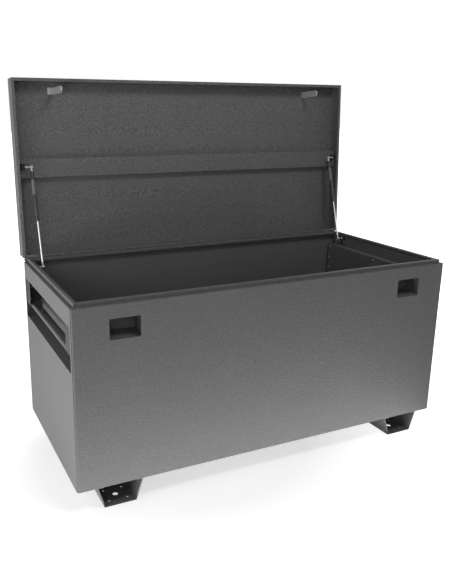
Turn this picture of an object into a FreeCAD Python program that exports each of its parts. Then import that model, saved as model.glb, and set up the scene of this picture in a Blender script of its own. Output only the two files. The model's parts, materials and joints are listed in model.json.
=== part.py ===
import FreeCAD, Part
import math
import os
from FreeCAD import Vector

# Jobsite storage box: a folded-steel chest on two skids, with a hinged lid held by
# gas struts, a recessed lifting bar in each end and two hidden padlock ports.
# Millimetres. X runs along the length, the front faces -Y, Z is up.
# The origin is on the floor, at the middle of the four anchor holes of the skids.
# The lid stands open: its pieces are drawn closed and then turned about the hinge.

# ---- chest ----
LENGTH = 1524.0            # over the end panels
DEPTH = 686.0              # over the front and rear panels
BODY_HEIGHT = 633.0        # panels, from their lower edge to the rim ledge
SHEET = 2.0                # body and lid sheet
CORNER_BEND = 5.0          # outer radius of the upright corner folds
EDGE_BEND = 2.5            # outer radius of the folds along the rim
RIM_FLANGE = 22.0          # inward flange of the walls along the rim
SIDE_FLANGE = 10.0         # flange of the front and rear walls behind the end panels

# ---- rim lip ----
LIP_SETBACK = 13.0         # width of the flat ledge outside the lip
LIP_WIDTH = 14.0
LIP_HEIGHT = 14.0
LIP_TURNDOWN = 10.0
LIP_BEND = 2.2             # outer radius of the lip's folds
LIP_CORNER_LAP = 6.0       # end lips carried past the corner, seen from the front
LIP_CORNER_GAP = 1.5

# ---- recess in each end ----
BAND_HEIGHT = 62.0         # end band above the recess
RECESS_HEIGHT = 155.0
RECESS_MARGIN = 18.0       # end panel left beside the recess, front and rear
RECESS_DEPTH = 58.0
RIM_BOX_DEPTH = 28.0       # depth of the box section behind the band
HEAD_LAP = 12.0            # hem of the head over the liner
LINER_STEP_RISE = 15.0     # liner step above the head of the recess
LINER_SLOT = 32.0          # open slot between sill and liner
SILL_DEPTH = 80.0
SILL_TURNUP = 35.0         # upstand at the back of the sill
LINER_TOP_FLANGE = 24.0
BAR_DIAMETER = 16.0
BAR_INSET = 15.0           # bar axis, inward from the end face
BAR_RISE = 54.0            # bar axis above the sill
BRACKET_GAP = 15.0         # bracket and liner flanges above the sill
BRACKET_RETURN = 58.0      # face of the bar bracket seen in the recess
BRACKET_RETURN_HEIGHT = 97.0
BRACKET_TAB = 16.0
WEB_RIVET_RISE = 14.0      # bracket's lower rivet above the bar axis
WEB_RIVET_PITCH = 48.0
WEB_RIVET_SLANT = 8.0      # upper rivet further in than the lower one

# ---- padlock ports ----
PORT_INSET = 177.0         # port centre from the end face
PORT_WIDTH = 107.0
PORT_HEIGHT = 71.0
PORT_DROP = 47.0           # head of the port below the rim ledge
PORT_CORNER = 6.0
HOUSING_MARGIN = 6.0       # housing wider than the port, each side
HOUSING_DEPTH = 76.0
HOUSING_FLOOR_RISE = 12.0  # floor slopes up to the back
HOUSING_FLANGE = 10.0
HOUSING_HEADROOM = 5.0     # below the rim ledge
SHACKLE_HOLE = 12.0        # diameter
LOCK_PLATE = 4.0           # thickness of the lid's lock tab
LOCK_TAB_WIDTH = 26.0
LOCK_TAB_SETBACK = 30.0    # tab's front edge behind the front face
LOCK_TAB_REACH = 55.0      # below the mouth of the lid
LOCK_HOLE_DROP = 35.0      # shackle hole below the mouth of the lid
LOCK_TAB_FOOT = 25.0
LOCK_BRACKET_PLATE = 5.0
LOCK_GAP = 1.5             # beside the tab, each side

# ---- skids ----
SKID_HEIGHT = 80.0
SKID_INSET = 150.0         # skid centre from the end face
SKID_FOOT = 114.0          # width of the sole
SKID_SPREAD = 166.0        # width where it meets the floor panel
SKID_SHEET = 4.0
SKID_FLANGE = 24.0
SKID_SETBACK = 3.0         # skid end behind the panel faces
ANCHOR_HOLE = 21.0         # diameter
ANCHOR_INSET = 63.0        # hole centre from the front or rear face
CASTER_HOLE = 9.0          # diameter
CASTER_PITCH = 66.0        # square pattern round each anchor hole
SKID_BOLT = 8.0
SKID_BOLTS_PER_ROW = 4
SKID_BOLT_END = 45.0       # first bolt from the end of the skid

# ---- lid ----
LID_HEIGHT = 66.0
LID_SEAT = 0.5             # air between ledge and closed lid
LID_CORNER_BEND = 3.0
LID_EDGE_BEND = 3.5
LIP_CLEARANCE = 1.5        # between the lid's mouth flange and the rim lip
MOUTH_UPTURN = 6.0
RIB_WIDTH = 76.0
RIB_HEIGHT = 28.0
RIB_FLANGE = 12.0
RIB_SETBACK = 309.0        # rib's rear wall from the lid's rear face
RIB_SHEET = 1.5
LID_OPEN_ANGLE = 93.14     # degrees

# ---- hinge ----
HINGE_BACK = 7.9           # pin axis behind the rear face
HINGE_RISE = 3.0           # pin axis above the mouth of the closed lid
LEAF = 2.5
LEAF_HEIGHT = 30.0
KNUCKLE_CLEARANCE = 0.9    # barrel to rear face
KNUCKLE_GAP = 0.6          # between neighbouring knuckles
KNUCKLE_PITCH = 48.8
HINGE_END_GAP = 6.0
PIN_DIAMETER = 6.0
PIN_FIT = 0.06             # radial running clearance
HINGE_RIVET_PITCH = 100.0

# ---- gas struts ----
STRUT_INSET = 57.0         # strut plane from the end face
TUB_BALL_SETBACK = 83.0    # from the rear face
TUB_BALL_DROP = 8.5        # below the rim ledge
LID_BALL_REACH = 353.4     # from the lid's rear face
LID_BALL_RISE = 8.4        # above the mouth of the lid
BALL_DIAMETER = 8.0
STUD_DIAMETER = 5.0
STUD_COLLAR = 12.0
STUD_COLLAR_THICKNESS = 3.0
SOCKET_DIAMETER = 12.0
SOCKET_WIDTH = 10.0
SOCKET_NECK = 7.0
SOCKET_REACH = 18.0        # ball centre to the far end of the neck
BALL_FIT = 0.1
OPEN_CLEARANCE = 0.3       # round the ball of the open pivot
ROD_DIAMETER = 6.0
ROD_FIT = 0.06
TUBE_DIAMETER = 15.0
TUBE_WALL = 1.2
TUBE_REACH = 212.0         # lid ball to the face of the gland
TUBE_CAP = 6.0
GLAND_HEAD = 4.0
GLAND_SPIGOT = 14.0
PISTON_THICKNESS = 10.0
PISTON_CLEARANCE = 0.3
ROD_OVERLAP = 36.0         # rod inside the tube when fully out
STRUT_PLATE = 3.0          # thickness of the strut brackets
STRUT_PLATE_WIDTH = 48.0
STRUT_PLATE_HEIGHT = 32.0
LID_PLATE_INSET = 22.0     # lid bracket's upright from the end face
LID_PLATE_STEP = 7.5       # joggle that takes the bracket in past the rim lip
LID_PLATE_OVER = 3.0       # joggle above the rim lip of the closed lid
LID_PLATE_WIDTH = 26.0
LID_PLATE_BELOW = 7.0      # plate below the ball's centre
LID_PLATE_FOOT = 18.0
NUT_WIDTH = 8.0
NUT_HEIGHT = 4.0

# ---- fasteners ----
RIVET_DIAMETER = 4.0
RIVET_HEAD = 8.0
RIVET_HEAD_HEIGHT = 2.2
HOLE_FIT = 0.1             # radial clearance of fixed fasteners
BRACKET_RIVET_PITCH = 50.0

# ---- values worked out from the sizes above ----
HALF_L = LENGTH / 2
HALF_D = DEPTH / 2
BODY_Z = SKID_HEIGHT
LEDGE_Z = BODY_Z + BODY_HEIGHT
LIP_TOP = LEDGE_Z + LIP_HEIGHT
HEAD_Z = LEDGE_Z - BAND_HEIGHT
SILL_Z = HEAD_Z - RECESS_HEIGHT
RECESS_Y = HALF_D - RECESS_MARGIN
LINER_BOTTOM = SILL_Z + LINER_SLOT
BRACKET_BOTTOM = SILL_Z + BRACKET_GAP
BRACKET_INSET = SHEET      # brackets start at the back of the end panel's sheet
STEP_Z = HEAD_Z + LINER_STEP_RISE + SHEET
PORT_TOP = LEDGE_Z - PORT_DROP
PORT_BOTTOM = PORT_TOP - PORT_HEIGHT
PORT_X = HALF_L - PORT_INSET
HOUSING_TOP = LEDGE_Z - HOUSING_HEADROOM
LID_MOUTH = LEDGE_Z + LID_SEAT
LID_TOP = LID_MOUTH + LID_HEIGHT
HINGE_Y = HALF_D + HINGE_BACK
HINGE_Z = LID_MOUTH + HINGE_RISE
KNUCKLE_R = HINGE_BACK - KNUCKLE_CLEARANCE
MOUTH_FLANGE = LIP_SETBACK - LIP_CLEARANCE
RIB_BOTTOM = LID_TOP - SHEET - RIB_HEIGHT
SKID_X = HALF_L - SKID_INSET
ANCHOR_Y = HALF_D - ANCHOR_INSET
TUB_BALL = Vector(-HALF_L + STRUT_INSET, HALF_D - TUB_BALL_SETBACK, LEDGE_Z - TUB_BALL_DROP)
LID_BALL_SHUT = Vector(-HALF_L + STRUT_INSET, HALF_D - LID_BALL_REACH, LID_MOUTH + LID_BALL_RISE)
HINGE_POINT = Vector(0, HINGE_Y, HINGE_Z)
X_AXIS = Vector(1, 0, 0)
Y_AXIS = Vector(0, 1, 0)
Z_AXIS = Vector(0, 0, 1)
BIG = 4 * max(LENGTH, DEPTH, BODY_HEIGHT)   # longer than anything it cuts


# ---------------------------------------------------------------- helpers
def box(x0, x1, y0, y1, z0, z1):
    """A block between two corners, given in either order."""
    low = Vector(min(x0, x1), min(y0, y1), min(z0, z1))
    return Part.makeBox(abs(x1 - x0), abs(y1 - y0), abs(z1 - z0), low)


def end_box(d0, d1, y0, y1, z0, z1):
    """A block at the left end, with d measured inward from the end face."""
    return box(-HALF_L + d0, -HALF_L + d1, y0, y1, z0, z1)


def rod(start, end, radius):
    return Part.makeCylinder(radius, (end - start).Length, start, end - start)


def joined(first, *others):
    return first.fuse(list(others)).removeSplitter()


def prism(points, direction):
    """A closed outline of points, pushed along a direction."""
    outline = Part.makePolygon(points + [points[0]])
    return Part.Face(outline).extrude(direction)


def edges_where(shape, test):
    """Straight edges whose two ends both pass a test."""
    found = []
    for edge in shape.Edges:
        ends = [vertex.Point for vertex in edge.Vertexes]
        if len(ends) == 2 and test(ends[0]) and test(ends[1]):
            found.append(edge)
    return found


def at(value, target):
    return abs(value - target) < 1e-6


def mirrored(shape):
    """The right-hand twin of a left-hand piece."""
    return shape.mirror(Vector(0, 0, 0), X_AXIS)


def turned_round(shape):
    """The same piece at the other end of the chest, turned half a turn about Z."""
    turned = shape.copy()
    turned.rotate(Vector(0, 0, 0), Z_AXIS, 180)
    return turned


def opened(shape):
    """A piece of the closed lid, turned to where it stands with the lid open."""
    turned = shape.copy()
    turned.rotate(HINGE_POINT, X_AXIS, -LID_OPEN_ANGLE)
    return turned


def write(name, shape):
    """One STEP file for one node; a group of loose pieces keeps its solids apart."""
    solids = shape.Solids
    result = solids[0] if len(solids) == 1 else Part.makeCompound(solids)
    result.exportStep("parts/" + name + ".step")


def write_pair(name, left):
    write("left_" + name, left)
    write("right_" + name, mirrored(left))


def write_groups(name, lefts):
    """Identical fasteners of both ends, as one group of separate solids."""
    solids = [piece for left in lefts for piece in (left, mirrored(left))]
    write(name, Part.makeCompound(solids))


def rivet(head_face, tail_face):
    """Domed rivet whose heads seat on two faces, given as points on its axis."""
    along = (tail_face - head_face).normalize()
    body = rod(head_face, tail_face, RIVET_DIAMETER / 2)
    for face, out in ((head_face, -along), (tail_face, along)):
        body = body.fuse(dome(face, out, RIVET_HEAD / 2, RIVET_HEAD_HEIGHT))
    return body.removeSplitter()


def dome(seat, out, radius, height):
    """Spherical cap of a head: its flat face is at seat and it bulges outward."""
    ball_radius = (radius ** 2 + height ** 2) / (2 * height)
    ball = Part.makeSphere(ball_radius, seat - out * (ball_radius - height))
    return ball.common(Part.makeCylinder(radius, height, seat, out))


def rivet_hole(head_face, tail_face):
    reach = (tail_face - head_face).normalize() * SHEET
    return rod(head_face - reach, tail_face + reach, RIVET_DIAMETER / 2 + HOLE_FIT)


def hexagon(base, direction, width, height, bore):
    """Hexagon nut of a width across flats, on an axis along X or Z."""
    side_on = Y_AXIS
    other = direction.cross(side_on)
    corner = width / math.sqrt(3)
    points = []
    for k in range(6):
        angle = math.radians(60 * k)
        spoke = side_on * math.cos(angle) + other * math.sin(angle)
        points.append(base + spoke * corner)
    nut = prism(points, direction * height)
    return nut.cut(Part.makeCylinder(bore, height, base, direction))


# ---------------------------------------------------------------- chest
def wall_panel(side):
    """Front (side -1) or rear (side 1) wall, folded back at the rim and both corners."""
    outer_x = HALF_L - SHEET
    face_y = side * HALF_D
    rim_y, side_y = side * (HALF_D - RIM_FLANGE), side * (HALF_D - SIDE_FLANGE)
    outer = box(-outer_x, outer_x, face_y, rim_y, BODY_Z, LEDGE_Z)
    upright = [edge for edge in outer.Edges if crease(edge, outer_x, face_y)]
    outer = outer.makeFillet(CORNER_BEND, upright)
    outer = rounded_top(outer, lambda p: at(p.y, face_y), EDGE_BEND)
    inner_x = outer_x - SHEET
    inner = box(-inner_x, inner_x, side * (HALF_D - SHEET), side * -HALF_D, 0, LEDGE_Z - SHEET)
    creases = [edge for edge in inner.Edges if crease(edge, inner_x, side * (HALF_D - SHEET))]
    inner = inner.makeFillet(CORNER_BEND - SHEET, creases)
    behind = box(-BIG, BIG, side_y, side * -HALF_D, 0, LEDGE_Z - SHEET)
    return outer.cut(inner).cut(behind)


def crease(edge, x, y):
    """Upright edge at a corner of the inner block."""
    middle = edge.CenterOfMass
    return at(abs(middle.x), x) and at(middle.y, y)


def rounded_top(shape, on_face, radius):
    """Round the straight top edge that lies on a face."""
    top = edges_where(shape, lambda p: at(p.z, LEDGE_Z) and on_face(p))
    return shape.makeFillet(radius, top)


def port_cut(centre_x):
    """Window of a padlock port, through the front panel."""
    half = PORT_WIDTH / 2
    near, far = -HALF_D - SHEET, -HALF_D + 2 * SHEET
    cut = box(centre_x - half, centre_x + half, near, far, PORT_BOTTOM, PORT_TOP)
    depthwise = [e for e in cut.Edges if at(abs(e.tangentAt(e.FirstParameter).y), 1)]
    return cut.makeFillet(PORT_CORNER, depthwise)


def front_panel():
    panel = wall_panel(-1)
    for centre_x in (-PORT_X, PORT_X):
        panel = panel.cut(port_cut(centre_x))
    return panel


def hinge_rivet_places():
    """X positions of the rivets of one hinge leaf, spread evenly."""
    span = LENGTH - 2 * HINGE_END_GAP - HINGE_RIVET_PITCH / 2
    count = max(2, round(span / HINGE_RIVET_PITCH) + 1)
    return [-span / 2 + span * k / (count - 1) for k in range(count)]


def hinge_rivet_ends(x, z):
    """Head and tail faces of a hinge rivet, through the leaf and the sheet."""
    return Vector(x, HALF_D + LEAF, z), Vector(x, HALF_D - SHEET, z)


def leaf_rivet_z(side):
    """Height of the rivets of the tub leaf (side -1) or the lid leaf (side 1)."""
    return HINGE_Z + side * LEAF_HEIGHT * 0.62


def rear_panel():
    panel = wall_panel(1)
    for x in hinge_rivet_places():
        panel = panel.cut(rivet_hole(*hinge_rivet_ends(x, leaf_rivet_z(-1))))
    return panel


def end_panel():
    """Left end wall: one sheet with the recess opening, its sill, head and rim flanges."""
    span_y = HALF_D - CORNER_BEND
    flange_y = HALF_D - RIM_FLANGE
    sheet = end_box(0, SHEET, -span_y, span_y, BODY_Z, LEDGE_Z)
    sheet = rounded_top(sheet, lambda p: at(p.x, -HALF_L), min(EDGE_BEND, SHEET - 0.1))
    sheet = sheet.cut(end_box(-SHEET, 2 * SHEET, -RECESS_Y, RECESS_Y, SILL_Z, HEAD_Z))
    ledge = end_box(SHEET, RIM_FLANGE, -flange_y, flange_y, LEDGE_Z - SHEET, LEDGE_Z)
    inside_y = RECESS_Y - SHEET
    sill = end_box(0, SILL_DEPTH + SHEET, -inside_y, inside_y, SILL_Z - SHEET, SILL_Z)
    upstand = end_box(SILL_DEPTH, SILL_DEPTH + SHEET, -inside_y, inside_y, SILL_Z, SILL_Z + SILL_TURNUP)
    head = end_box(0, RIM_BOX_DEPTH, -inside_y, inside_y, HEAD_Z, HEAD_Z + SHEET)
    hem = end_box(RIM_BOX_DEPTH - SHEET, RIM_BOX_DEPTH, -inside_y, inside_y, HEAD_Z, STEP_Z + HEAD_LAP)
    return joined(sheet, ledge, sill, upstand, head, hem)


def liner_rivet_heights():
    """Rivets up the back edges of the liner."""
    top = STEP_Z - SHEET - RIVET_HEAD - SHEET
    return [top - BRACKET_RIVET_PITCH * k for k in range(3)]


def tab_rivet(side, z):
    """Rivet through the bracket's tab and the liner's back wall."""
    y = side * (RECESS_Y - 2 * SHEET - BRACKET_TAB / 2)
    inside = Vector(-HALF_L + RECESS_DEPTH + SHEET, y, z)
    outside = Vector(-HALF_L + RECESS_DEPTH - SHEET, y, z)
    return inside, outside


def web_rivet(side, place):
    """Rivet through the bracket's web and the liner's end flange."""
    x = -HALF_L + BAR_INSET + WEB_RIVET_SLANT * place
    z = SILL_Z + BAR_RISE + WEB_RIVET_RISE + WEB_RIVET_PITCH * place
    return Vector(x, side * (RECESS_Y - 2 * SHEET), z), Vector(x, side * RECESS_Y, z)


def middle_rivet():
    """Rivet that plugs the hole in the middle of the liner's back wall."""
    z = liner_rivet_heights()[0]
    return Vector(-HALF_L + RECESS_DEPTH + SHEET, 0, z), Vector(-HALF_L + RECESS_DEPTH, 0, z)


def recess_rivets():
    places = [middle_rivet()]
    for side in (-1, 1):
        places += [tab_rivet(side, z) for z in liner_rivet_heights()]
        places += [web_rivet(side, place) for place in (0, 1)]
    return places


def strut_plate_rivets():
    """Rivets of the tub's strut bracket, through bracket and liner."""
    z = TUB_BALL.z - STRUT_PLATE_HEIGHT / 2
    places = []
    for side in (-1, 1):
        y = TUB_BALL.y + side * (STRUT_PLATE_WIDTH / 2 - RIVET_HEAD)
        inside = Vector(-HALF_L + RIM_BOX_DEPTH + SHEET + STRUT_PLATE, y, z)
        outside = Vector(-HALF_L + RIM_BOX_DEPTH, y, z)
        places.append((inside, outside))
    return places


def stud_hole(plate_face, through):
    """Clearance hole for a ball stud through a plate and what is behind it."""
    start = plate_face + X_AXIS * SHEET
    return rod(start, plate_face - X_AXIS * (through + SHEET), STUD_DIAMETER / 2 + HOLE_FIT)


def recess_liner():
    """Left liner: box side of the rim, step, back wall and two end flanges."""
    inside_y = RECESS_Y - SHEET
    back = RECESS_DEPTH
    rim_wall = end_box(RIM_BOX_DEPTH, RIM_BOX_DEPTH + SHEET, -inside_y, inside_y,
                       STEP_Z - SHEET, LEDGE_Z - SHEET)
    top = end_box(RIM_BOX_DEPTH + SHEET - LINER_TOP_FLANGE, RIM_BOX_DEPTH + SHEET,
                  -inside_y, inside_y, LEDGE_Z - 2 * SHEET, LEDGE_Z - SHEET)
    step = end_box(RIM_BOX_DEPTH, back + SHEET, -inside_y, inside_y, STEP_Z - SHEET, STEP_Z)
    wall = end_box(back, back + SHEET, -inside_y, inside_y, LINER_BOTTOM, STEP_Z)
    liner = joined(rim_wall, top, step, wall)
    for side in (-1, 1):
        liner = joined(liner, end_box(BRACKET_INSET + SHEET, back + SHEET,
                                      side * inside_y, side * RECESS_Y, BRACKET_BOTTOM, HEAD_Z - SHEET))
    for inside, outside in recess_rivets() + strut_plate_rivets():
        liner = liner.cut(rivet_hole(inside, outside))
    plate_face = Vector(-HALF_L + RIM_BOX_DEPTH + SHEET, TUB_BALL.y, TUB_BALL.z)
    return liner.cut(stud_hole(plate_face, SHEET))


def bar_bracket(side):
    """Plate that carries one end of the lifting bar, with a tab on the liner and a front return."""
    web_y = RECESS_Y - SHEET
    inset, top = BRACKET_INSET, HEAD_Z - SHEET
    web = end_box(inset, RECESS_DEPTH, side * (web_y - SHEET), side * web_y, BRACKET_BOTTOM, top)
    face = end_box(inset, inset + SHEET, side * (web_y - BRACKET_RETURN), side * web_y,
                   top - BRACKET_RETURN_HEIGHT, top)
    tab = end_box(RECESS_DEPTH - SHEET, RECESS_DEPTH, side * (web_y - SHEET - BRACKET_TAB),
                  side * web_y, LINER_BOTTOM, STEP_Z - 2 * SHEET)
    bracket = joined(web, face, tab)
    for inside, outside in recess_rivets():
        bracket = bracket.cut(rivet_hole(inside, outside))
    return bracket


def handle_bar():
    reach = RECESS_Y - 2 * SHEET
    x, z = -HALF_L + BAR_INSET, SILL_Z + BAR_RISE
    return rod(Vector(x, -reach, z), Vector(x, reach, z), BAR_DIAMETER / 2)


def lip_frame():
    """Raised lip on the ledge, all the way round, before it is cut at the corners."""
    def ring(setback, z0, z1):
        return box(-HALF_L + setback, HALF_L - setback, -HALF_D + setback, HALF_D - setback, z0, z1)

    inner = LIP_SETBACK + LIP_WIDTH
    frame = ring(LIP_SETBACK, LEDGE_Z, LIP_TOP)
    frame = frame.makeFillet(LIP_BEND, [e for e in frame.Edges if at(e.CenterOfMass.z, LIP_TOP)])
    frame = frame.cut(ring(inner, LEDGE_Z, LIP_TOP))
    rounding = [e for e in frame.Edges if at(e.CenterOfMass.z, LIP_TOP) and inner_edge(e, inner)]
    frame = frame.makeFillet(LIP_BEND, rounding)
    hollow = ring(LIP_SETBACK + SHEET, LEDGE_Z, LIP_TOP - SHEET).cut(
        ring(inner - SHEET, LEDGE_Z, LIP_TOP - SHEET))
    below = ring(inner - SHEET, LEDGE_Z, LIP_TOP - LIP_TURNDOWN)
    return frame.cut(hollow).cut(below)


def inner_edge(edge, setback):
    middle = edge.CenterOfMass
    return at(abs(middle.x), HALF_L - setback) or at(abs(middle.y), HALF_D - setback)


def corner_x(setback, gap):
    """X of the slanting corner cut of the lips, at a distance behind the front or rear face."""
    behind = (setback - LIP_SETBACK) / LIP_WIDTH
    return HALF_L - LIP_SETBACK - LIP_CORNER_LAP - gap - behind * (LIP_WIDTH - LIP_CORNER_LAP)


def lip_part(frame, plan):
    """The part of the lip inside an outline seen from above."""
    points = [Vector(x, y, LEDGE_Z) for x, y in plan]
    return frame.common(prism(points, Z_AXIS * LIP_HEIGHT))


def long_lip(frame, side):
    """Lip along the front (side -1) or the rear (side 1), between the end lips."""
    depth = LIP_SETBACK + 2 * LIP_WIDTH
    outer_x, inner_x = corner_x(0, LIP_CORNER_GAP), corner_x(depth, LIP_CORNER_GAP)
    face_y, inner_y = side * HALF_D, side * (HALF_D - depth)
    return lip_part(frame, [(-outer_x, face_y), (outer_x, face_y), (inner_x, inner_y), (-inner_x, inner_y)])


def left_lip(frame):
    """Lip along the left end, which reaches past both corners."""
    depth = LIP_SETBACK + 2 * LIP_WIDTH
    half = [(-HALF_L, HALF_D), (-corner_x(0, 0), HALF_D), (-corner_x(depth, 0), HALF_D - depth)]
    return lip_part(frame, half + [(x, -y) for x, y in reversed(half)])


def floor_panel():
    """Flat floor sheet between the walls, notched for their corner flanges."""
    wide, deep = HALF_L - SHEET, HALF_D - SHEET
    top = BODY_Z + SHEET
    floor = box(-wide, wide, -deep, deep, BODY_Z, top)
    for sx in (-1, 1):
        for sy in (-1, 1):
            flange_end = sy * (HALF_D - SIDE_FLANGE - SHEET)
            floor = floor.cut(box(sx * (wide - SHEET), sx * HALF_L, flange_end, sy * HALF_D, BODY_Z, top))
            floor = floor.cut(box(sx * (wide - SHEET - CORNER_BEND), sx * HALF_L,
                                  sy * (deep - CORNER_BEND), sy * HALF_D, BODY_Z, top))
    for x, y in skid_bolt_places():
        floor = floor.cut(rod(Vector(x, y, 0), Vector(x, y, LEDGE_Z), SKID_BOLT / 2 + HOLE_FIT))
    return floor


def skid_bolt_places():
    """Bolt centres of both skids, in two rows each."""
    across = SKID_SPREAD / 2 - SKID_FLANGE + SKID_BOLT
    reach = HALF_D - SKID_SETBACK - SKID_BOLT_END
    step = 2 * reach / (SKID_BOLTS_PER_ROW - 1)
    rows = [side * SKID_X + edge * across for side in (-1, 1) for edge in (-1, 1)]
    return [(x, -reach + step * k) for x in rows for k in range(SKID_BOLTS_PER_ROW)]


def skid():
    """Left skid: a trapezoid channel, open at both ends, with inward top flanges."""
    foot, spread = SKID_FOOT / 2, SKID_SPREAD / 2
    slope = (spread - foot) / SKID_HEIGHT
    wall = SKID_SHEET * math.hypot(1, slope)
    front = -HALF_D + SKID_SETBACK
    length = Y_AXIS * (DEPTH - 2 * SKID_SETBACK)

    def outline(points):
        return prism([Vector(-SKID_X + x, front, z) for x, z in points], length)

    def half_width(z):
        return foot + slope * z

    outer = outline([(-foot, 0), (foot, 0), (spread, SKID_HEIGHT), (-spread, SKID_HEIGHT)])
    low, high = SKID_SHEET, SKID_HEIGHT - SKID_SHEET
    inner_low, inner_high = half_width(low) - wall, half_width(high) - wall
    inner = outline([(-inner_low, low), (inner_low, low), (inner_high, high), (-inner_high, high)])
    throat = spread - SKID_FLANGE
    gap = outline([(-throat, high), (throat, high), (throat, SKID_HEIGHT), (-throat, SKID_HEIGHT)])
    channel = outer.cut(inner).cut(gap)
    for x, y, diameter in sole_holes():
        channel = channel.cut(Part.makeCylinder(diameter / 2, 3 * SKID_SHEET, Vector(x, y, -SKID_SHEET)))
    for x, y in skid_bolt_places():
        if x < 0:
            bore = rod(Vector(x, y, high - SKID_SHEET), Vector(x, y, LEDGE_Z), SKID_BOLT / 2 + HOLE_FIT)
            channel = channel.cut(bore)
    return channel


def sole_holes():
    """Anchor holes of the left skid, each inside a square of caster holes."""
    holes = []
    for sy in (-1, 1):
        centre_y = sy * ANCHOR_Y
        holes.append((-SKID_X, centre_y, ANCHOR_HOLE))
        for dx in (-1, 1):
            for dy in (-1, 1):
                holes.append((-SKID_X + dx * CASTER_PITCH / 2, centre_y + dy * CASTER_PITCH / 2, CASTER_HOLE))
    return holes


def skid_bolt(x, y):
    """Carriage bolt: domed head on the floor, end below the nut."""
    head_z = BODY_Z + SHEET
    end_z = SKID_HEIGHT - SKID_SHEET - SKID_BOLT
    shank = rod(Vector(x, y, end_z), Vector(x, y, head_z), SKID_BOLT / 2)
    return joined(shank, dome(Vector(x, y, head_z), Z_AXIS, SKID_BOLT, SKID_BOLT * 0.45))


def skid_nut(x, y):
    top = SKID_HEIGHT - SKID_SHEET
    return hexagon(Vector(x, y, top), -Z_AXIS, SKID_BOLT * 1.6, SKID_BOLT * 0.8,
                   SKID_BOLT / 2 + HOLE_FIT)


# ---------------------------------------------------------------- padlock ports
def housing_profile(inset):
    """Side outline of the lock housing; inset moves it inward by one sheet."""
    front = -HALF_D + SHEET
    back = front + HOUSING_DEPTH - inset
    floor_front = PORT_BOTTOM - HOUSING_MARGIN + inset
    floor_back = floor_front + HOUSING_FLOOR_RISE
    top = HOUSING_TOP - inset
    return [(front, floor_front), (back, floor_back), (back, top), (front, top)]


def lock_housing():
    """Open-fronted pocket behind the left port, with a slot in its ceiling for the lid's tab."""
    half = PORT_WIDTH / 2 + HOUSING_MARGIN

    def solid(inset, half_width):
        points = [Vector(-PORT_X - half_width, y, z) for y, z in housing_profile(inset)]
        return prism(points, X_AXIS * (2 * half_width))

    shell = solid(0, half + SHEET).cut(solid(SHEET, half))
    panel = -HALF_D + SHEET
    for side in (-1, 1):
        edge = -PORT_X + side * (half + SHEET)
        flange = box(edge, edge + side * HOUSING_FLANGE, panel, panel + SHEET,
                     PORT_BOTTOM - HOUSING_MARGIN, HOUSING_TOP)
        shell = joined(shell, flange)
    slot = LOCK_PLATE / 2 + LOCK_GAP
    front = -HALF_D + LOCK_TAB_SETBACK
    margin = LOCK_PLATE + LOCK_GAP
    cut = box(-PORT_X - slot, -PORT_X + slot, front - margin, front + LOCK_TAB_WIDTH + margin,
              HOUSING_TOP - 2 * SHEET, HOUSING_TOP + SHEET)
    return shell.cut(cut)


def shackle_bore():
    """Line of the left padlock's shackle through tab and bracket."""
    y = -HALF_D + LOCK_TAB_SETBACK + LOCK_TAB_WIDTH / 2
    z = LID_MOUTH - LOCK_HOLE_DROP
    reach = X_AXIS * (LOCK_TAB_FOOT + LOCK_TAB_WIDTH)
    middle = Vector(-PORT_X, y, z)
    return rod(middle - reach, middle + reach, SHACKLE_HOLE / 2)


def lock_bracket():
    """Fixed plate inboard of the left tab, hung from the housing's ceiling."""
    x0 = -PORT_X + LOCK_PLATE / 2 + LOCK_GAP
    x1 = x0 + LOCK_BRACKET_PLATE
    front = -HALF_D + LOCK_TAB_SETBACK
    back = front + LOCK_TAB_WIDTH
    ceiling = HOUSING_TOP - SHEET
    low = LID_MOUTH - LOCK_HOLE_DROP - LOCK_TAB_WIDTH / 2
    plate = box(x0, x1, front, back, low, ceiling)
    foot = box(x1, x1 + LOCK_TAB_FOOT, front, back, ceiling - LOCK_BRACKET_PLATE, ceiling)
    return joined(plate, foot).cut(shackle_bore())


def tab_rivet_places():
    """Rivets of the left lock tab's foot, through the lid panel."""
    x = -PORT_X - LOCK_PLATE / 2 - LOCK_TAB_FOOT / 2
    places = []
    for quarter in (0.25, 0.75):
        y = -HALF_D + LOCK_TAB_SETBACK + LOCK_TAB_WIDTH * quarter
        places.append((Vector(x, y, LID_TOP - SHEET - LOCK_PLATE), Vector(x, y, LID_TOP)))
    return places


def lock_tab():
    """Left angle on the lid panel: an outboard foot, and a round-ended tab that drops into the housing."""
    x0, x1 = -PORT_X - LOCK_PLATE / 2, -PORT_X + LOCK_PLATE / 2
    front = -HALF_D + LOCK_TAB_SETBACK
    back = front + LOCK_TAB_WIDTH
    inner = LID_TOP - SHEET
    end_z = LID_MOUTH - LOCK_TAB_REACH
    round_z = end_z + LOCK_TAB_WIDTH / 2
    blade = box(x0, x1, front, back, round_z, inner)
    nose = rod(Vector(x0, (front + back) / 2, round_z), Vector(x1, (front + back) / 2, round_z),
               LOCK_TAB_WIDTH / 2)
    foot = box(x0 - LOCK_TAB_FOOT, x0, front, back, inner - LOCK_PLATE, inner)
    tab = joined(blade, nose, foot).cut(shackle_bore())
    for head, tail in tab_rivet_places():
        tab = tab.cut(rivet_hole(head, tail))
    return tab


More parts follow.
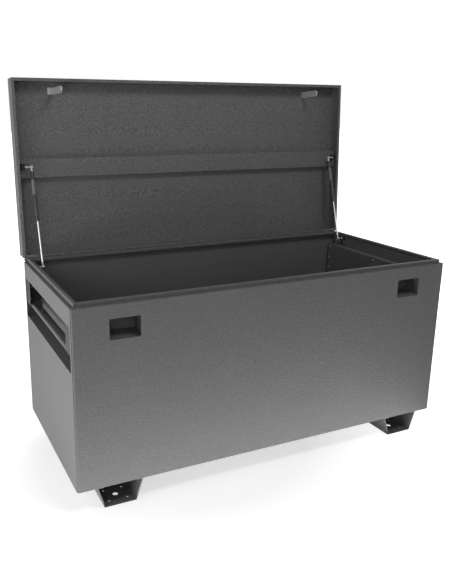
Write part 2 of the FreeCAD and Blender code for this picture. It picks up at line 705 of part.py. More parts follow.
# ---------------------------------------------------------------- lid
def lid_shell():
    """Closed lid: panel, four skirts, mouth flange and its upturned edge."""
    def plan(setback, z0, z1):
        return box(-HALF_L + setback, HALF_L - setback, -HALF_D + setback, HALF_D - setback, z0, z1)

    outer = plan(0, LID_MOUTH, LID_TOP)
    upright = [e for e in outer.Edges if at(e.CenterOfMass.z, (LID_MOUTH + LID_TOP) / 2)]
    outer = outer.makeFillet(LID_CORNER_BEND, upright)
    outer = outer.makeFillet(LID_EDGE_BEND, [e for e in outer.Edges if at(e.CenterOfMass.z, LID_TOP)])
    hollow = plan(SHEET, LID_MOUTH + SHEET, LID_TOP - SHEET)
    mouth = plan(MOUTH_FLANGE, LID_MOUTH, LID_MOUTH + SHEET)
    upturn = plan(MOUTH_FLANGE - SHEET, LID_MOUTH + SHEET, LID_MOUTH + SHEET + MOUTH_UPTURN).cut(
        plan(MOUTH_FLANGE, LID_MOUTH + SHEET, LID_MOUTH + SHEET + MOUTH_UPTURN))
    lid = joined(outer.cut(hollow).cut(mouth), upturn)
    for x in hinge_rivet_places():
        lid = lid.cut(rivet_hole(*hinge_rivet_ends(x, leaf_rivet_z(1))))
    for head, tail in tab_rivet_places():
        lid = lid.cut(rivet_hole(head, tail))
        lid = lid.cut(mirrored(rivet_hole(head, tail)))
    return lid


def lid_rib():
    """Hat channel across the lid, from skirt to skirt."""
    wide = HALF_L - SHEET
    rear = HALF_D - RIB_SETBACK
    front = rear - RIB_WIDTH
    top = LID_TOP - SHEET
    outer = box(-wide, wide, front, rear, RIB_BOTTOM, top)
    lower = [e for e in outer.Edges if at(e.CenterOfMass.z, RIB_BOTTOM) and at(e.CenterOfMass.x, 0)]
    outer = outer.makeFillet(2 * RIB_SHEET, lower)
    inner = box(-wide, wide, front + RIB_SHEET, rear - RIB_SHEET, RIB_BOTTOM + RIB_SHEET, top)
    creases = [e for e in inner.Edges
               if at(e.CenterOfMass.z, RIB_BOTTOM + RIB_SHEET) and at(e.CenterOfMass.x, 0)]
    channel = outer.cut(inner.makeFillet(RIB_SHEET, creases))
    for y0, y1 in ((front - RIB_FLANGE, front + RIB_SHEET), (rear - RIB_SHEET, rear + RIB_FLANGE)):
        channel = joined(channel, box(-wide, wide, y0, y1, top - RIB_SHEET, top))
    for head, tail in lid_plate_rivets():
        channel = channel.cut(rivet_hole(head, tail))
        channel = channel.cut(mirrored(rivet_hole(head, tail)))
    return channel


def lid_plate_rivets():
    """Rivets of the lid's strut bracket, through its foot and the rib."""
    x = -HALF_L + LID_PLATE_INSET - LID_PLATE_FOOT / 2
    places = []
    for side in (-1, 1):
        y = LID_BALL_SHUT.y + side * (LID_PLATE_WIDTH / 2 - RIVET_HEAD)
        places.append((Vector(x, y, RIB_BOTTOM - STRUT_PLATE), Vector(x, y, RIB_BOTTOM + RIB_SHEET)))
    return places


def lid_strut_bracket():
    """Joggled angle under the rib's end that carries the lid's ball stud."""
    y0, y1 = LID_BALL_SHUT.y - LID_PLATE_WIDTH / 2, LID_BALL_SHUT.y + LID_PLATE_WIDTH / 2
    inset = LID_PLATE_INSET
    leg = inset + LID_PLATE_STEP
    shelf_z = LIP_TOP + LID_PLATE_OVER
    foot = end_box(inset - LID_PLATE_FOOT, inset, y0, y1, RIB_BOTTOM - STRUT_PLATE, RIB_BOTTOM)
    upright = end_box(inset, inset + STRUT_PLATE, y0, y1, shelf_z, RIB_BOTTOM)
    shelf = end_box(inset, leg + STRUT_PLATE, y0, y1, shelf_z, shelf_z + STRUT_PLATE)
    lower = end_box(leg, leg + STRUT_PLATE, y0, y1, LID_BALL_SHUT.z - LID_PLATE_BELOW, shelf_z)
    bracket = joined(foot, upright, shelf, lower)
    for head, tail in lid_plate_rivets():
        bracket = bracket.cut(rivet_hole(head, tail))
    face = Vector(-HALF_L + leg + STRUT_PLATE, LID_BALL_SHUT.y, LID_BALL_SHUT.z)
    return bracket.cut(stud_hole(face, STRUT_PLATE))


def tub_strut_bracket():
    """Plate on the liner that carries the tub's ball stud."""
    d0 = RIM_BOX_DEPTH + SHEET
    top = LEDGE_Z - SHEET
    plate = end_box(d0, d0 + STRUT_PLATE, TUB_BALL.y - STRUT_PLATE_WIDTH / 2,
                    TUB_BALL.y + STRUT_PLATE_WIDTH / 2, top - STRUT_PLATE_HEIGHT, top)
    for inside, outside in strut_plate_rivets():
        plate = plate.cut(rivet_hole(inside, outside))
    face = Vector(-HALF_L + d0 + STRUT_PLATE, TUB_BALL.y, TUB_BALL.z)
    return plate.cut(stud_hole(face, STRUT_PLATE))


def ball_stud(ball, plate_face, tail):
    """Ball, shank and collar; the tail is the part of the shank beyond the collar."""
    end = Vector(plate_face - tail, ball.y, ball.z)
    seat = Vector(plate_face, ball.y, ball.z)
    shank = rod(end, ball, STUD_DIAMETER / 2)
    collar = rod(seat, seat + X_AXIS * STUD_COLLAR_THICKNESS, STUD_COLLAR / 2)
    return joined(Part.makeSphere(BALL_DIAMETER / 2, ball), shank, collar)


def stud_nut(ball, plate_face, grip):
    base = Vector(plate_face - grip, ball.y, ball.z)
    return hexagon(base, -X_AXIS, NUT_WIDTH, NUT_HEIGHT, STUD_DIAMETER / 2 + HOLE_FIT)


TUB_FACE = -HALF_L + RIM_BOX_DEPTH + SHEET + STRUT_PLATE
TUB_GRIP = STRUT_PLATE + SHEET
LID_FACE = -HALF_L + LID_PLATE_INSET + LID_PLATE_STEP + STRUT_PLATE


# ---------------------------------------------------------------- hinge
def knuckle_spans():
    """Start and end of each knuckle along X; even ones belong to the tub's leaf."""
    span = LENGTH - 2 * HINGE_END_GAP
    count = 2 * round(span / KNUCKLE_PITCH / 2) + 1
    pitch = span / count
    starts = [-span / 2 + pitch * k for k in range(count)]
    return [(x + KNUCKLE_GAP / 2, x + pitch - KNUCKLE_GAP / 2) for x in starts]


def hinge_leaf(side):
    """Leaf on the tub (side -1) or on the closed lid (side 1), with its own knuckles."""
    length = HALF_L - HINGE_END_GAP
    leaf = box(-length, length, HALF_D, HALF_D + LEAF, HINGE_Z, HINGE_Z + side * LEAF_HEIGHT)
    spans = knuckle_spans()
    own, other = (spans[0::2], spans[1::2]) if side < 0 else (spans[1::2], spans[0::2])
    relief = KNUCKLE_R + KNUCKLE_GAP
    for x0, x1 in other:
        leaf = leaf.cut(box(x0 - KNUCKLE_GAP, x1 + KNUCKLE_GAP, HALF_D - LEAF, HALF_D + 2 * LEAF,
                            HINGE_Z - relief, HINGE_Z + relief))
    barrels = [rod(Vector(x0, HINGE_Y, HINGE_Z), Vector(x1, HINGE_Y, HINGE_Z), KNUCKLE_R)
               for x0, x1 in own]
    leaf = leaf.fuse(barrels)
    bore = rod(Vector(-BIG, HINGE_Y, HINGE_Z), Vector(BIG, HINGE_Y, HINGE_Z), PIN_DIAMETER / 2 + PIN_FIT)
    leaf = leaf.cut(bore)
    for x in hinge_rivet_places():
        leaf = leaf.cut(rivet_hole(*hinge_rivet_ends(x, leaf_rivet_z(side))))
    return leaf


def hinge_pin():
    reach = HALF_L - HINGE_END_GAP + LEAF
    return rod(Vector(-reach, HINGE_Y, HINGE_Z), Vector(reach, HINGE_Y, HINGE_Z), PIN_DIAMETER / 2)


def hinge_rivets(side):
    z = leaf_rivet_z(side)
    return Part.makeCompound([rivet(*hinge_rivet_ends(x, z)) for x in hinge_rivet_places()])


# ---------------------------------------------------------------- gas struts
LID_BALL = opened(Part.Vertex(LID_BALL_SHUT)).Point


def reach_and_angle(lid_ball):
    """Length and slope of the strut when the lid's ball is at a place."""
    dy, dz = lid_ball.y - TUB_BALL.y, lid_ball.z - TUB_BALL.z
    return math.hypot(dy, dz), math.atan2(dz, dy)


OUT_LENGTH, OUT_ANGLE = reach_and_angle(LID_BALL)
IN_LENGTH, IN_ANGLE = reach_and_angle(LID_BALL_SHUT)


def strut_placed(shape):
    """A piece drawn upright on the tub's ball, turned to the strut's open slope."""
    placed = shape.copy()
    placed.rotate(Vector(0, 0, 0), X_AXIS, math.degrees(OUT_ANGLE) - 90)
    placed.translate(TUB_BALL)
    return placed


def ball_path(steps):
    """Where the lid's ball goes, seen from the strut, as the lid closes.

    The strut turns and shortens in proportion to the lid's angle, so the ball
    leaves its seat between the two ends of the travel. Places are (y, z) in the
    strut's own upright frame.
    """
    places = []
    for k in range(steps + 1):
        share = k / steps
        moved = Part.Vertex(LID_BALL)
        moved.rotate(HINGE_POINT, X_AXIS, share * LID_OPEN_ANGLE)
        offset = moved.Point - TUB_BALL
        slope = OUT_ANGLE + share * (IN_ANGLE - OUT_ANGLE)
        length = OUT_LENGTH + share * (IN_LENGTH - OUT_LENGTH)
        along = offset.y * math.cos(slope) + offset.z * math.sin(slope)
        across = offset.y * math.sin(slope) - offset.z * math.cos(slope)
        places.append((across, OUT_LENGTH + along - length))
    return places


def socket(z, way):
    """Head round a ball at height z, with a neck that points up (way 1) or down (-1)."""
    half = SOCKET_WIDTH / 2
    head = rod(Vector(-half, 0, z), Vector(half, 0, z), SOCKET_DIAMETER / 2)
    neck = rod(Vector(0, 0, z + way * SOCKET_DIAMETER / 4), Vector(0, 0, z + way * SOCKET_REACH),
               SOCKET_NECK / 2)
    return joined(head, neck)


def rod_socket():
    """Closed seat round the tub's ball, open towards its stud."""
    seat = Part.makeSphere(BALL_DIAMETER / 2 + BALL_FIT)
    mouth = rod(Vector(-SOCKET_WIDTH, 0, 0), Vector(0, 0, 0), STUD_DIAMETER / 2 + 3 * OPEN_CLEARANCE)
    return socket(0, 1).cut(seat).cut(mouth)


def tube_socket():
    """Half seat at the lid's ball, clear of the whole path that the ball takes."""
    radius = BALL_DIAMETER / 2 + OPEN_CLEARANCE
    shape = socket(OUT_LENGTH, -1)
    for y, z in ball_path(96):
        if math.hypot(y, z - OUT_LENGTH) < SOCKET_REACH + BALL_DIAMETER:
            shape = shape.cut(rod(Vector(-SOCKET_WIDTH, y, z), Vector(radius, y, z), radius))
    return shape


def strut_tube():
    """Closed cylinder with its capped end towards the lid."""
    mouth = OUT_LENGTH - TUBE_REACH + GLAND_HEAD
    top = OUT_LENGTH - SOCKET_REACH
    outer = rod(Vector(0, 0, mouth), Vector(0, 0, top), TUBE_DIAMETER / 2)
    bore = rod(Vector(0, 0, mouth), Vector(0, 0, top - TUBE_CAP), TUBE_DIAMETER / 2 - TUBE_WALL)
    return outer.cut(bore)


def strut_gland():
    """Rod guide in the mouth of the tube."""
    face = OUT_LENGTH - TUBE_REACH
    shoulder = face + GLAND_HEAD
    head = rod(Vector(0, 0, face), Vector(0, 0, shoulder), TUBE_DIAMETER / 2)
    spigot = rod(Vector(0, 0, shoulder), Vector(0, 0, shoulder + GLAND_SPIGOT),
                 TUBE_DIAMETER / 2 - TUBE_WALL - HOLE_FIT)
    bore = rod(Vector(0, 0, face), Vector(0, 0, shoulder + GLAND_SPIGOT), ROD_DIAMETER / 2 + ROD_FIT)
    return joined(head, spigot).cut(bore)


def strut_rod():
    """Piston rod from the tub's socket into the tube, with its piston."""
    end = OUT_LENGTH - TUBE_REACH + ROD_OVERLAP
    shaft = rod(Vector(0, 0, SOCKET_REACH), Vector(0, 0, end), ROD_DIAMETER / 2)
    piston = rod(Vector(0, 0, end - PISTON_THICKNESS), Vector(0, 0, end),
                 TUBE_DIAMETER / 2 - TUBE_WALL - PISTON_CLEARANCE)
    return joined(shaft, piston)


# ---------------------------------------------------------------- all pieces
def write_chest():
    write("front_panel", front_panel())
    write("rear_panel", rear_panel())
    write_pair("end_panel", end_panel())
    write("floor_panel", floor_panel())
    frame = lip_frame()
    write("rim_lip_front", long_lip(frame, -1))
    write("rim_lip_rear", long_lip(frame, 1))
    end_lip = left_lip(frame)
    write("rim_lip_left", end_lip)
    write("rim_lip_right", turned_round(end_lip))


def write_recesses():
    write_pair("recess_liner", recess_liner())
    for name, side in (("front", -1), ("rear", 1)):
        write_pair(name + "_bar_bracket", bar_bracket(side))
    write_pair("handle_bar", handle_bar())
    write_groups("recess_rivets", [rivet(*ends) for ends in recess_rivets()])


def write_ports():
    write_pair("lock_housing", lock_housing())
    write_pair("lock_bracket", lock_bracket())
    write_pair("lock_tab", opened(lock_tab()))
    write_groups("lock_tab_rivets", [opened(rivet(*ends)) for ends in tab_rivet_places()])


def write_skids():
    write_pair("skid", skid())
    write("skid_bolts", Part.makeCompound([skid_bolt(x, y) for x, y in skid_bolt_places()]))
    write("skid_nuts", Part.makeCompound([skid_nut(x, y) for x, y in skid_bolt_places()]))


def write_lid():
    write("lid_shell", opened(lid_shell()))
    write("lid_rib", opened(lid_rib()))
    write("hinge_leaf_tub", hinge_leaf(-1))
    write("hinge_leaf_lid", opened(hinge_leaf(1)))
    write("hinge_pin", hinge_pin())
    write("hinge_rivets_tub", hinge_rivets(-1))
    write("hinge_rivets_lid", opened(hinge_rivets(1)))


def write_struts():
    write_pair("tub_strut_bracket", tub_strut_bracket())
    write_groups("tub_bracket_rivets", [rivet(*ends) for ends in strut_plate_rivets()])
    write_pair("tub_ball_stud", ball_stud(TUB_BALL, TUB_FACE, TUB_GRIP + NUT_HEIGHT + 1))
    write_groups("tub_stud_nuts", [stud_nut(TUB_BALL, TUB_FACE, TUB_GRIP)])
    write_pair("lid_strut_bracket", opened(lid_strut_bracket()))
    write_groups("lid_bracket_rivets", [opened(rivet(*ends)) for ends in lid_plate_rivets()])
    write_pair("lid_ball_stud", opened(ball_stud(LID_BALL_SHUT, LID_FACE, STRUT_PLATE)))
    for name, shape in (("rod_socket", rod_socket()), ("strut_rod", strut_rod()),
                        ("strut_gland", strut_gland()), ("strut_tube", strut_tube()),
                        ("tube_socket", tube_socket())):
        write_pair(name, strut_placed(shape))


os.makedirs("parts", exist_ok=True)
write_chest()
write_recesses()
write_ports()
write_skids()
write_lid()
write_struts()
print("hinge axis y, z", HINGE_Y, HINGE_Z)
print("tub ball", TUB_BALL, "lid ball open", LID_BALL, "shut", LID_BALL_SHUT)
print("strut out, in", OUT_LENGTH, IN_LENGTH, "turn", math.degrees(IN_ANGLE - OUT_ANGLE))
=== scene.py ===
import json
import math

import bpy
from mathutils import Matrix, Vector


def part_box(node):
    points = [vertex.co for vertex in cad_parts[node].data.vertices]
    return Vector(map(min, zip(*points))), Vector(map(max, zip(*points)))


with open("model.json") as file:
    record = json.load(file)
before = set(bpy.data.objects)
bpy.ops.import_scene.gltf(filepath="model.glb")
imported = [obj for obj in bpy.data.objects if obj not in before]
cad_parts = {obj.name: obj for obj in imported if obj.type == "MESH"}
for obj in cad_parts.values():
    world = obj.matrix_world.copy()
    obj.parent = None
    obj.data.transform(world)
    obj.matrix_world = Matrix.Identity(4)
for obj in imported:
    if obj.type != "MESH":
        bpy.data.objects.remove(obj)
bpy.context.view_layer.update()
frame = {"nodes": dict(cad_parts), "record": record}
NODES = frame["nodes"]
JOINTS = {joint["name"]: joint for joint in frame["record"]["behaviour"]["joints"]}

# Lengths are in metres.

# ---------------------------------------------------------------- camera
IMAGE_WIDTH, IMAGE_HEIGHT = 452, 584          # the view's frame, pixels
FOCAL_PIXELS = 651.25
AXIS_PIXEL = (188.05, 280.02)                 # where the lens axis meets the view
CAMERA_PLACE = Vector((-1.2403, -2.1956, 1.3165))
CAMERA_FORWARD = Vector((0.4116, 0.8734, -0.2603)).normalized()
CAMERA_ROLL = math.radians(0.47)
SENSOR_MM = 36.0
CLIP_START, CLIP_END = 0.05, 100.0

# ---------------------------------------------------------------- floor, world and lamps
FLOOR_SIZE = 60.0
FLOOR_DROP = 0.0004                           # below the soles
PAPER_GREY, PAPER_CLOUD, PAPER_CLOUD_SIZE = 0.58, 0.04, 0.4
PAPER_ROUGHNESS = 0.9
PAINTED_SHADOW_SCALE = (0.75, 1.0, 0.0)                 # the floor's glow is dimmed in an oval round the object, a painted shadow
PAINTED_SHADOW_SHIFT = (0.22, 0.10, 0.0)                # whose middle lies a little to the front left, so the painted shadow reaches out that way
PAINTED_SHADOW_FADE_START, PAINTED_SHADOW_FADE_END = 0.4, 1.5
PAINTED_SHADOW_GLOW, GLOW_GAIN = 0.62, 0.9
GLOW_MIRRORED = 0.7
WORLD_LIGHT = 0.05

LAMPS = [                                     # name, place, target, width, height, watts
    ("key_light", (0.2, -1.25, 2.5), (0, 0, 0.7), 0.6, 0.6, 17),
    ("front_left_light", (-2.0, -3.0, 1.6), (-0.1, 0.2, 0.8), 1.0, 1.0, 14.5),
    ("front_light", (-0.6, -3.6, 1.2), (-0.1, 0, 0.5), 1.6, 1.0, 5),
    ("front_low_light", (-0.2, -0.60, 0.012), (-0.2, -0.60, 1.0), 2.0, 0.5, 9.4),
    ("left_low_light", (-2.3, -0.2, 0.25), (-0.76, 0, 0.25), 2.0, 0.5, 29),
    ("left_high_light", (-1.5, -0.2, 1.05), (-0.76, 0.1, 0.45), 1.0, 0.3, 3),
    ("right_low_light", (2.6, 0.3, 0.3), (0.76, 0, 0.3), 2.0, 0.5, 16),
    ("rear_light", (0.8, 3.4, 2.6), (0, 0.3, 0.6), 2.0, 1.4, 50),
]


# ---------------------------------------------------------------- material kit
NOISE_ROUGHNESS = 0.55


class Field:
    """A value that varies over a surface: one output of a shader node, with arithmetic."""

    def __init__(self, material, socket):
        self.material = material
        self.socket = socket

    def math(self, operation, other):
        return self.material.node("ShaderNodeMath", self, other, operation=operation)

    def __add__(self, other):
        return self.math("ADD", other)

    __radd__ = __add__

    def __mul__(self, other):
        return self.math("MULTIPLY", other)

    __rmul__ = __mul__

    def __sub__(self, other):
        return self.math("SUBTRACT", other)

    def __rsub__(self, other):
        return self.material.node("ShaderNodeMath", other, self, operation="SUBTRACT")

    def larger(self, other):
        return self.math("MAXIMUM", other)

    def between(self, low, high):
        """0 below low, 1 above high, and a straight run between."""
        return self.material.node("ShaderNodeMapRange", self, low, high, 0.0, 1.0)

    def band(self, start, end, edge):
        """1 from start to end and 0 outside, with a run of one edge at either side."""
        return self.between(start, start + edge) * (1 - self.between(end, end + edge))


class Material:
    """A Principled material whose fields are worked out from the piece's own coordinates."""

    def __init__(self, name, roughness, metallic=0.0, **shader):
        self.data = bpy.data.materials.new(name)
        self.data.use_nodes = True
        self.tree = self.data.node_tree
        self.shader = self.tree.nodes["Principled BSDF"]
        self.shader.inputs["Metallic"].default_value = metallic
        self.shader.inputs["Roughness"].default_value = roughness
        for socket, value in shader.items():
            self.shader.inputs[socket.replace("_", " ")].default_value = value
        self.place = self.node("ShaderNodeTexCoord", out="Object")

    def node(self, kind, *inputs, out=0, **settings):
        """A shader node with its first inputs filled in order; None leaves one as it is."""
        made = self.tree.nodes.new(kind)
        for key, value in settings.items():
            setattr(made, key, value)
        sockets = [s for s in made.inputs if s.enabled]
        for socket, value in zip(sockets, inputs):
            if isinstance(value, Field):
                self.tree.links.new(value.socket, socket)
            elif value is not None:
                socket.default_value = value
        return Field(self, made.outputs[out])

    def noise(self, size, detail=3.0, stretch=(1, 1, 1), offset=(0, 0, 0)):
        """Cloudy field from 0 to 1, whose lumps are about size across."""
        scaled = self.node("ShaderNodeMapping", self.place, offset, (0, 0, 0), stretch)
        return self.node("ShaderNodeTexNoise", scaled, 1.0 / size, detail, NOISE_ROUGHNESS)

    def along(self, axis):
        """The distance along a direction."""
        return self.node("ShaderNodeVectorMath", self.place, axis, out="Value", operation="DOT_PRODUCT")

    def grey(self, level, blue=0.0):
        """A grey from a field of brightness, with its blue raised by a share."""
        return self.node("ShaderNodeCombineColor", level, level, level * (1 + blue))

    def set(self, socket, field):
        self.tree.links.new(field.socket, self.shader.inputs[socket])

    def bump(self, height, depth, strength):
        """Raise the surface by a field from 0 to 1, whose full height is depth."""
        self.set("Normal", self.node("ShaderNodeBump", strength, depth, None, height))

    def give(self, *nodes):
        """Put this material on pieces."""
        for piece in nodes:
            piece.data.materials.clear()
            piece.data.materials.append(self.data)


# ---------------------------------------------------------------- powder coat
COAT_ROUGHNESS, COAT_SHINE = 0.40, 0.20
PEBBLE_SIZE, PEBBLE_RANGE = 0.0048, (0.32, 0.68)
LUMP_SIZE, LUMP_RANGE = 0.0085, (0.25, 0.75)
DRIFT_SIZE = 0.30
PEBBLE_TONE, LUMP_TONE, DRIFT_TONE = 0.28, 0.12, 0.16
PEBBLE_ROUGHNESS, DRIFT_ROUGHNESS = 0.10, 0.04
PEBBLE_HEIGHT, LUMP_HEIGHT = 0.6, 0.4
SKIN_DEPTH, SKIN_STRENGTH = 0.0016, 0.8

WALL_GREY, WALL_GRAIN, WALL_BLUE = 0.112, 0.7, 0.03
LID_GREY, LID_GRAIN, LID_BLUE = 0.118, 2.2, 0.012
# the brackets' very dark grey is painted shade: it stands in for the shade deep in the end recesses
BRACKET_PAINTED_SHADE_GREY = 0.030


def powder_coat(name, level, grain, blue=0.0):
    """Hammered powder coat: a pebbled skin over a slow drift of tone. Grain sets the contrast."""
    coat = Material(name, roughness=COAT_ROUGHNESS, Specular_IOR_Level=COAT_SHINE)
    pebble = coat.noise(PEBBLE_SIZE, 1.0).between(*PEBBLE_RANGE)
    lump = coat.noise(LUMP_SIZE, 2.0, offset=(3, 1, 7)).between(*LUMP_RANGE)
    drift = coat.noise(DRIFT_SIZE, 2.0, offset=(5, 2, 4))
    middle = (PEBBLE_TONE * grain + LUMP_TONE * grain + DRIFT_TONE) / 2
    tone = 1 - middle + pebble * (PEBBLE_TONE * grain) + lump * (LUMP_TONE * grain) + drift * DRIFT_TONE
    coat.set("Base Color", coat.grey(tone * level, blue))
    coat.set("Roughness", COAT_ROUGHNESS + pebble * PEBBLE_ROUGHNESS + drift * DRIFT_ROUGHNESS)
    coat.bump(pebble * PEBBLE_HEIGHT + lump * LUMP_HEIGHT, SKIN_DEPTH, SKIN_STRENGTH)
    return coat


# ---------------------------------------------------------------- zinc plate
ZINC_GREY, ZINC_METALLIC, ZINC_ROUGHNESS = 0.40, 0.35, 0.36
SPANGLE_SIZE, SPANGLE_TONE, SPANGLE_ROUGHNESS, SPANGLE_HEIGHT = 0.006, 0.25, 0.14, 0.4
BRUSH_SIZE, BRUSH_STRETCH, BRUSH_TONE, BRUSH_HEIGHT = 0.0012, (0.15, 1, 1), 0.15, 0.6
ZINC_DEPTH, ZINC_STRENGTH = 0.0001, 0.4


def zinc_plate(name):
    """Dull zinc with faint cloudy spangles and a brushed grain."""
    zinc = Material(name, metallic=ZINC_METALLIC, roughness=ZINC_ROUGHNESS)
    spangle = zinc.noise(SPANGLE_SIZE, 2.0)
    brush = zinc.noise(BRUSH_SIZE, 1.0, stretch=BRUSH_STRETCH)
    tone = 1 - (SPANGLE_TONE + BRUSH_TONE) / 2 + spangle * SPANGLE_TONE + brush * BRUSH_TONE
    zinc.set("Base Color", zinc.grey(tone * ZINC_GREY))
    zinc.set("Roughness", ZINC_ROUGHNESS + spangle * SPANGLE_ROUGHNESS)
    zinc.bump(brush * BRUSH_HEIGHT + spangle * SPANGLE_HEIGHT, ZINC_DEPTH, ZINC_STRENGTH)
    return zinc


# ---------------------------------------------------------------- rods and hinge pin
ROD_GREY, ROD_ROUGHNESS = 0.52, 0.16
PIN_GREY, PIN_ROUGHNESS = 0.40, 0.31
STEEL_TONE = 0.86
RING_SIZE, RING_STRETCH, RING_TONE, RING_ROUGHNESS = 0.0008, (0.1, 0.1, 1), 0.10, 0.03
HAZE_SIZE, HAZE_TONE, HAZE_ROUGHNESS = 0.05, 0.12, 0.08
RING_DEPTH, RING_STRENGTH = 0.00004, 0.3


def polished_steel(name, level, roughness):
    """Ground steel with fine rings and a faint haze."""
    steel = Material(name, metallic=1.0, roughness=roughness)
    rings = steel.noise(RING_SIZE, 1.0, stretch=RING_STRETCH)
    haze = steel.noise(HAZE_SIZE, 2.0)
    steel.set("Base Color", steel.grey((STEEL_TONE + rings * RING_TONE + haze * HAZE_TONE) * level))
    steel.set("Roughness", roughness + haze * HAZE_ROUGHNESS + rings * RING_ROUGHNESS)
    steel.bump(rings, RING_DEPTH, RING_STRENGTH)
    return steel


# ---------------------------------------------------------------- strut tubes
LABEL_START, LABEL_END, LABEL_EDGE = 0.037, 0.094, 0.0006    # plain label, from the tube's capped end
CRIMP_START, CRIMP_END, CRIMP_EDGE = 0.003, 0.024, 0.002     # rolled groove, from the tube's mouth
# the rolled groove's darker tone is painted shade in the crease
TUBE_GREY, LABEL_GREY, CRIMP_PAINTED_SHADE = 0.006, 0.065, 0.012
SPECK_SIZE, TUBE_SPECK, LABEL_SPECK = 0.0015, 0.006, 0.02
FILM_SIZE, TUBE_FILM, LABEL_FILM, FILM_ROUGHNESS = 0.02, 0.010, 0.03, 0.08
TUBE_ROUGHNESS, LABEL_ROUGHNESS, TUBE_SHINE = 0.14, 0.30, 0.5
LABEL_HEIGHT, CRIMP_HEIGHT, SPECK_HEIGHT = 0.5, 0.6, 0.05
TUBE_DEPTH, TUBE_STRENGTH = 0.0002, 0.6


def cylinder_coat(name):
    """Smooth dark coat on the strut tubes, with a plain grey label round each and a rolled groove
    painted darker as shade.
    """
    axis = Vector(JOINTS["left_strut_slide"]["axis"]).normalized()
    low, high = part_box("left_strut_tube")
    top = max(axis.y * high[1] + axis.z * high[2], axis.y * low[1] + axis.z * low[2])
    low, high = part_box("left_strut_gland")
    mouth = axis.y * (low[1] + high[1]) / 2 + axis.z * low[2]
    coat = Material(name, roughness=TUBE_ROUGHNESS, Specular_IOR_Level=TUBE_SHINE)
    run = coat.along(tuple(axis))
    label = run.band(top - LABEL_END, top - LABEL_START, LABEL_EDGE)
    crimp = run.band(mouth + CRIMP_START, mouth + CRIMP_END, CRIMP_EDGE)
    speck = coat.noise(SPECK_SIZE, 2.0)
    film = coat.noise(FILM_SIZE, 2.0, offset=(2, 5, 1))
    bare = TUBE_GREY + speck * TUBE_SPECK + film * TUBE_FILM
    paper = LABEL_GREY + speck * LABEL_SPECK + film * LABEL_FILM
    # the rolled groove is painted darker here: painted shade in the crease
    coat.set("Base Color", coat.grey(bare * (1 - label) + paper * label - crimp * CRIMP_PAINTED_SHADE))
    coat.set("Roughness", TUBE_ROUGHNESS + label * LABEL_ROUGHNESS + film * FILM_ROUGHNESS)
    relief = label * LABEL_HEIGHT - crimp * CRIMP_HEIGHT + speck * SPECK_HEIGHT
    coat.bump(relief, TUBE_DEPTH, TUBE_STRENGTH)
    return coat


# ---------------------------------------------------------------- finishes of the CAD nodes
def finishes():
    """Every CAD node gets the finish of its record slot, and the lid a coarser coat of its own."""
    slots = {part["node"]: part["material_slot"] for part in frame["record"]["subparts"]}
    by_slot = {
        "powder_coat": powder_coat("powder_coat", WALL_GREY, WALL_GRAIN, WALL_BLUE),
        # the dark_bracket coat is painted shade, a very dark grey for the shade inside the end recesses
        "dark_bracket": powder_coat("dark_bracket", BRACKET_PAINTED_SHADE_GREY, WALL_GRAIN),
        "zinc_plate": zinc_plate("zinc_plate"),
        "strut_cylinder": cylinder_coat("strut_cylinder"),
        "chromed_rod": polished_steel("chromed_rod", ROD_GREY, ROD_ROUGHNESS),
        "hinge_pin_steel": polished_steel("hinge_pin_steel", PIN_GREY, PIN_ROUGHNESS),
    }
    for name, piece in NODES.items():
        by_slot[slots[name]].give(piece)
    lid_coat = powder_coat("lid_coat", LID_GREY, LID_GRAIN, LID_BLUE)
    lid_coat.give(NODES["lid_shell"], NODES["lid_rib"])


# ---------------------------------------------------------------- stage
def make_floor():
    """Pale paper that keeps the object's shadow, with a painted shadow in its glow round the object,
    and fades to pure white away from it.
    """
    half = FLOOR_SIZE / 2
    corners = [(-half, -half), (half, -half), (half, half), (-half, half)]
    mesh = bpy.data.meshes.new("floor")
    mesh.from_pydata([(x, y, -FLOOR_DROP) for x, y in corners], [], [(0, 1, 2, 3)])
    floor = bpy.data.objects.new("floor", mesh)
    bpy.context.scene.collection.objects.link(floor)
    paper = Material("studio_paper", roughness=PAPER_ROUGHNESS, Emission_Strength=1.0)
    paper.set("Base Color", paper.grey(PAPER_GREY + paper.noise(PAPER_CLOUD_SIZE) * PAPER_CLOUD))
    oval = paper.node(
        "ShaderNodeVectorMath", paper.place, PAINTED_SHADOW_SCALE, PAINTED_SHADOW_SHIFT, operation="MULTIPLY_ADD"
    )
    away = paper.node("ShaderNodeVectorMath", oval, out="Value", operation="LENGTH")
    seen = paper.node("ShaderNodeLightPath", out="Is Camera Ray")
    mirrored = paper.node("ShaderNodeLightPath", out="Is Glossy Ray")
    # painted shadow: the glow the camera sees is lowest round the object and rises to white away from
    # it, over the real shadow the paper keeps
    seen_glow_with_painted_shadow = seen * (PAINTED_SHADOW_GLOW + away.between(PAINTED_SHADOW_FADE_START, PAINTED_SHADOW_FADE_END) * GLOW_GAIN)
    paper.set("Emission Color", paper.grey(seen_glow_with_painted_shadow.larger(mirrored * GLOW_MIRRORED)))
    paper.give(floor)


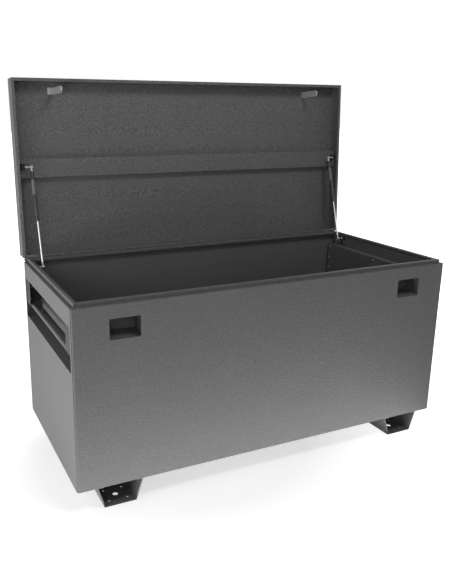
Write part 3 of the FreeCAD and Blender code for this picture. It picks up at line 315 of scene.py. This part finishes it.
def make_world():
    """Faint light from all round, and pure white where the camera or a mirror sees past the floor."""
    world = bpy.data.worlds.new("studio")
    world.use_nodes = True
    tree = world.node_tree
    tree.nodes.clear()
    seen = tree.nodes.new("ShaderNodeBackground")
    seen.inputs["Color"].default_value = (1, 1, 1, 1)
    seen.inputs["Strength"].default_value = 1.0
    light = tree.nodes.new("ShaderNodeBackground")
    light.inputs["Color"].default_value = (1, 1, 1, 1)
    light.inputs["Strength"].default_value = WORLD_LIGHT
    path = tree.nodes.new("ShaderNodeLightPath")
    mix = tree.nodes.new("ShaderNodeMixShader")
    out = tree.nodes.new("ShaderNodeOutputWorld")
    white = path.outputs["Is Camera Ray"]
    for ray in ("Is Glossy Ray", "Is Transmission Ray"):
        either = tree.nodes.new("ShaderNodeMath")
        either.operation = "MAXIMUM"
        tree.links.new(white, either.inputs[0])
        tree.links.new(path.outputs[ray], either.inputs[1])
        white = either.outputs[0]
    tree.links.new(white, mix.inputs[0])
    tree.links.new(light.outputs[0], mix.inputs[1])
    tree.links.new(seen.outputs[0], mix.inputs[2])
    tree.links.new(mix.outputs[0], out.inputs[0])
    bpy.context.scene.world = world


def softbox(name, place, target, width, height, power):
    """A rectangular soft light, aimed at a point and left out of the camera's view."""
    lamp = bpy.data.lights.new(name, "AREA")
    lamp.shape = "RECTANGLE"
    lamp.size, lamp.size_y = width, height
    lamp.energy = power
    box = bpy.data.objects.new(name, lamp)
    box.location = place
    aim = Vector(target) - Vector(place)
    box.rotation_euler = aim.to_track_quat("-Z", "Y").to_euler()
    box.visible_camera = False
    bpy.context.scene.collection.objects.link(box)


def make_camera():
    """The lens, with its axis off the middle of the frame, and its place and tilt."""
    lens = bpy.data.cameras.new("camera")
    lens.sensor_width = SENSOR_MM
    lens.lens = FOCAL_PIXELS / IMAGE_HEIGHT * SENSOR_MM
    lens.shift_x = (IMAGE_WIDTH / 2 - AXIS_PIXEL[0]) / IMAGE_HEIGHT
    lens.shift_y = (AXIS_PIXEL[1] - IMAGE_HEIGHT / 2) / IMAGE_HEIGHT
    lens.clip_start, lens.clip_end = CLIP_START, CLIP_END
    camera = bpy.data.objects.new("camera", lens)
    right = CAMERA_FORWARD.cross(Vector((0, 0, 1))).normalized()
    up = right.cross(CAMERA_FORWARD)
    rolled_right = right * math.cos(CAMERA_ROLL) + up * math.sin(CAMERA_ROLL)
    rolled_up = up * math.cos(CAMERA_ROLL) - right * math.sin(CAMERA_ROLL)
    turn = Matrix((rolled_right, rolled_up, -CAMERA_FORWARD)).transposed()
    camera.matrix_world = Matrix.Translation(CAMERA_PLACE) @ turn.to_4x4()
    bpy.context.scene.collection.objects.link(camera)
    bpy.context.scene.camera = camera


bpy.context.scene.view_settings.view_transform = "Standard"
make_camera()
make_world()
for lamp_settings in LAMPS:
    softbox(*lamp_settings)
make_floor()
finishes()
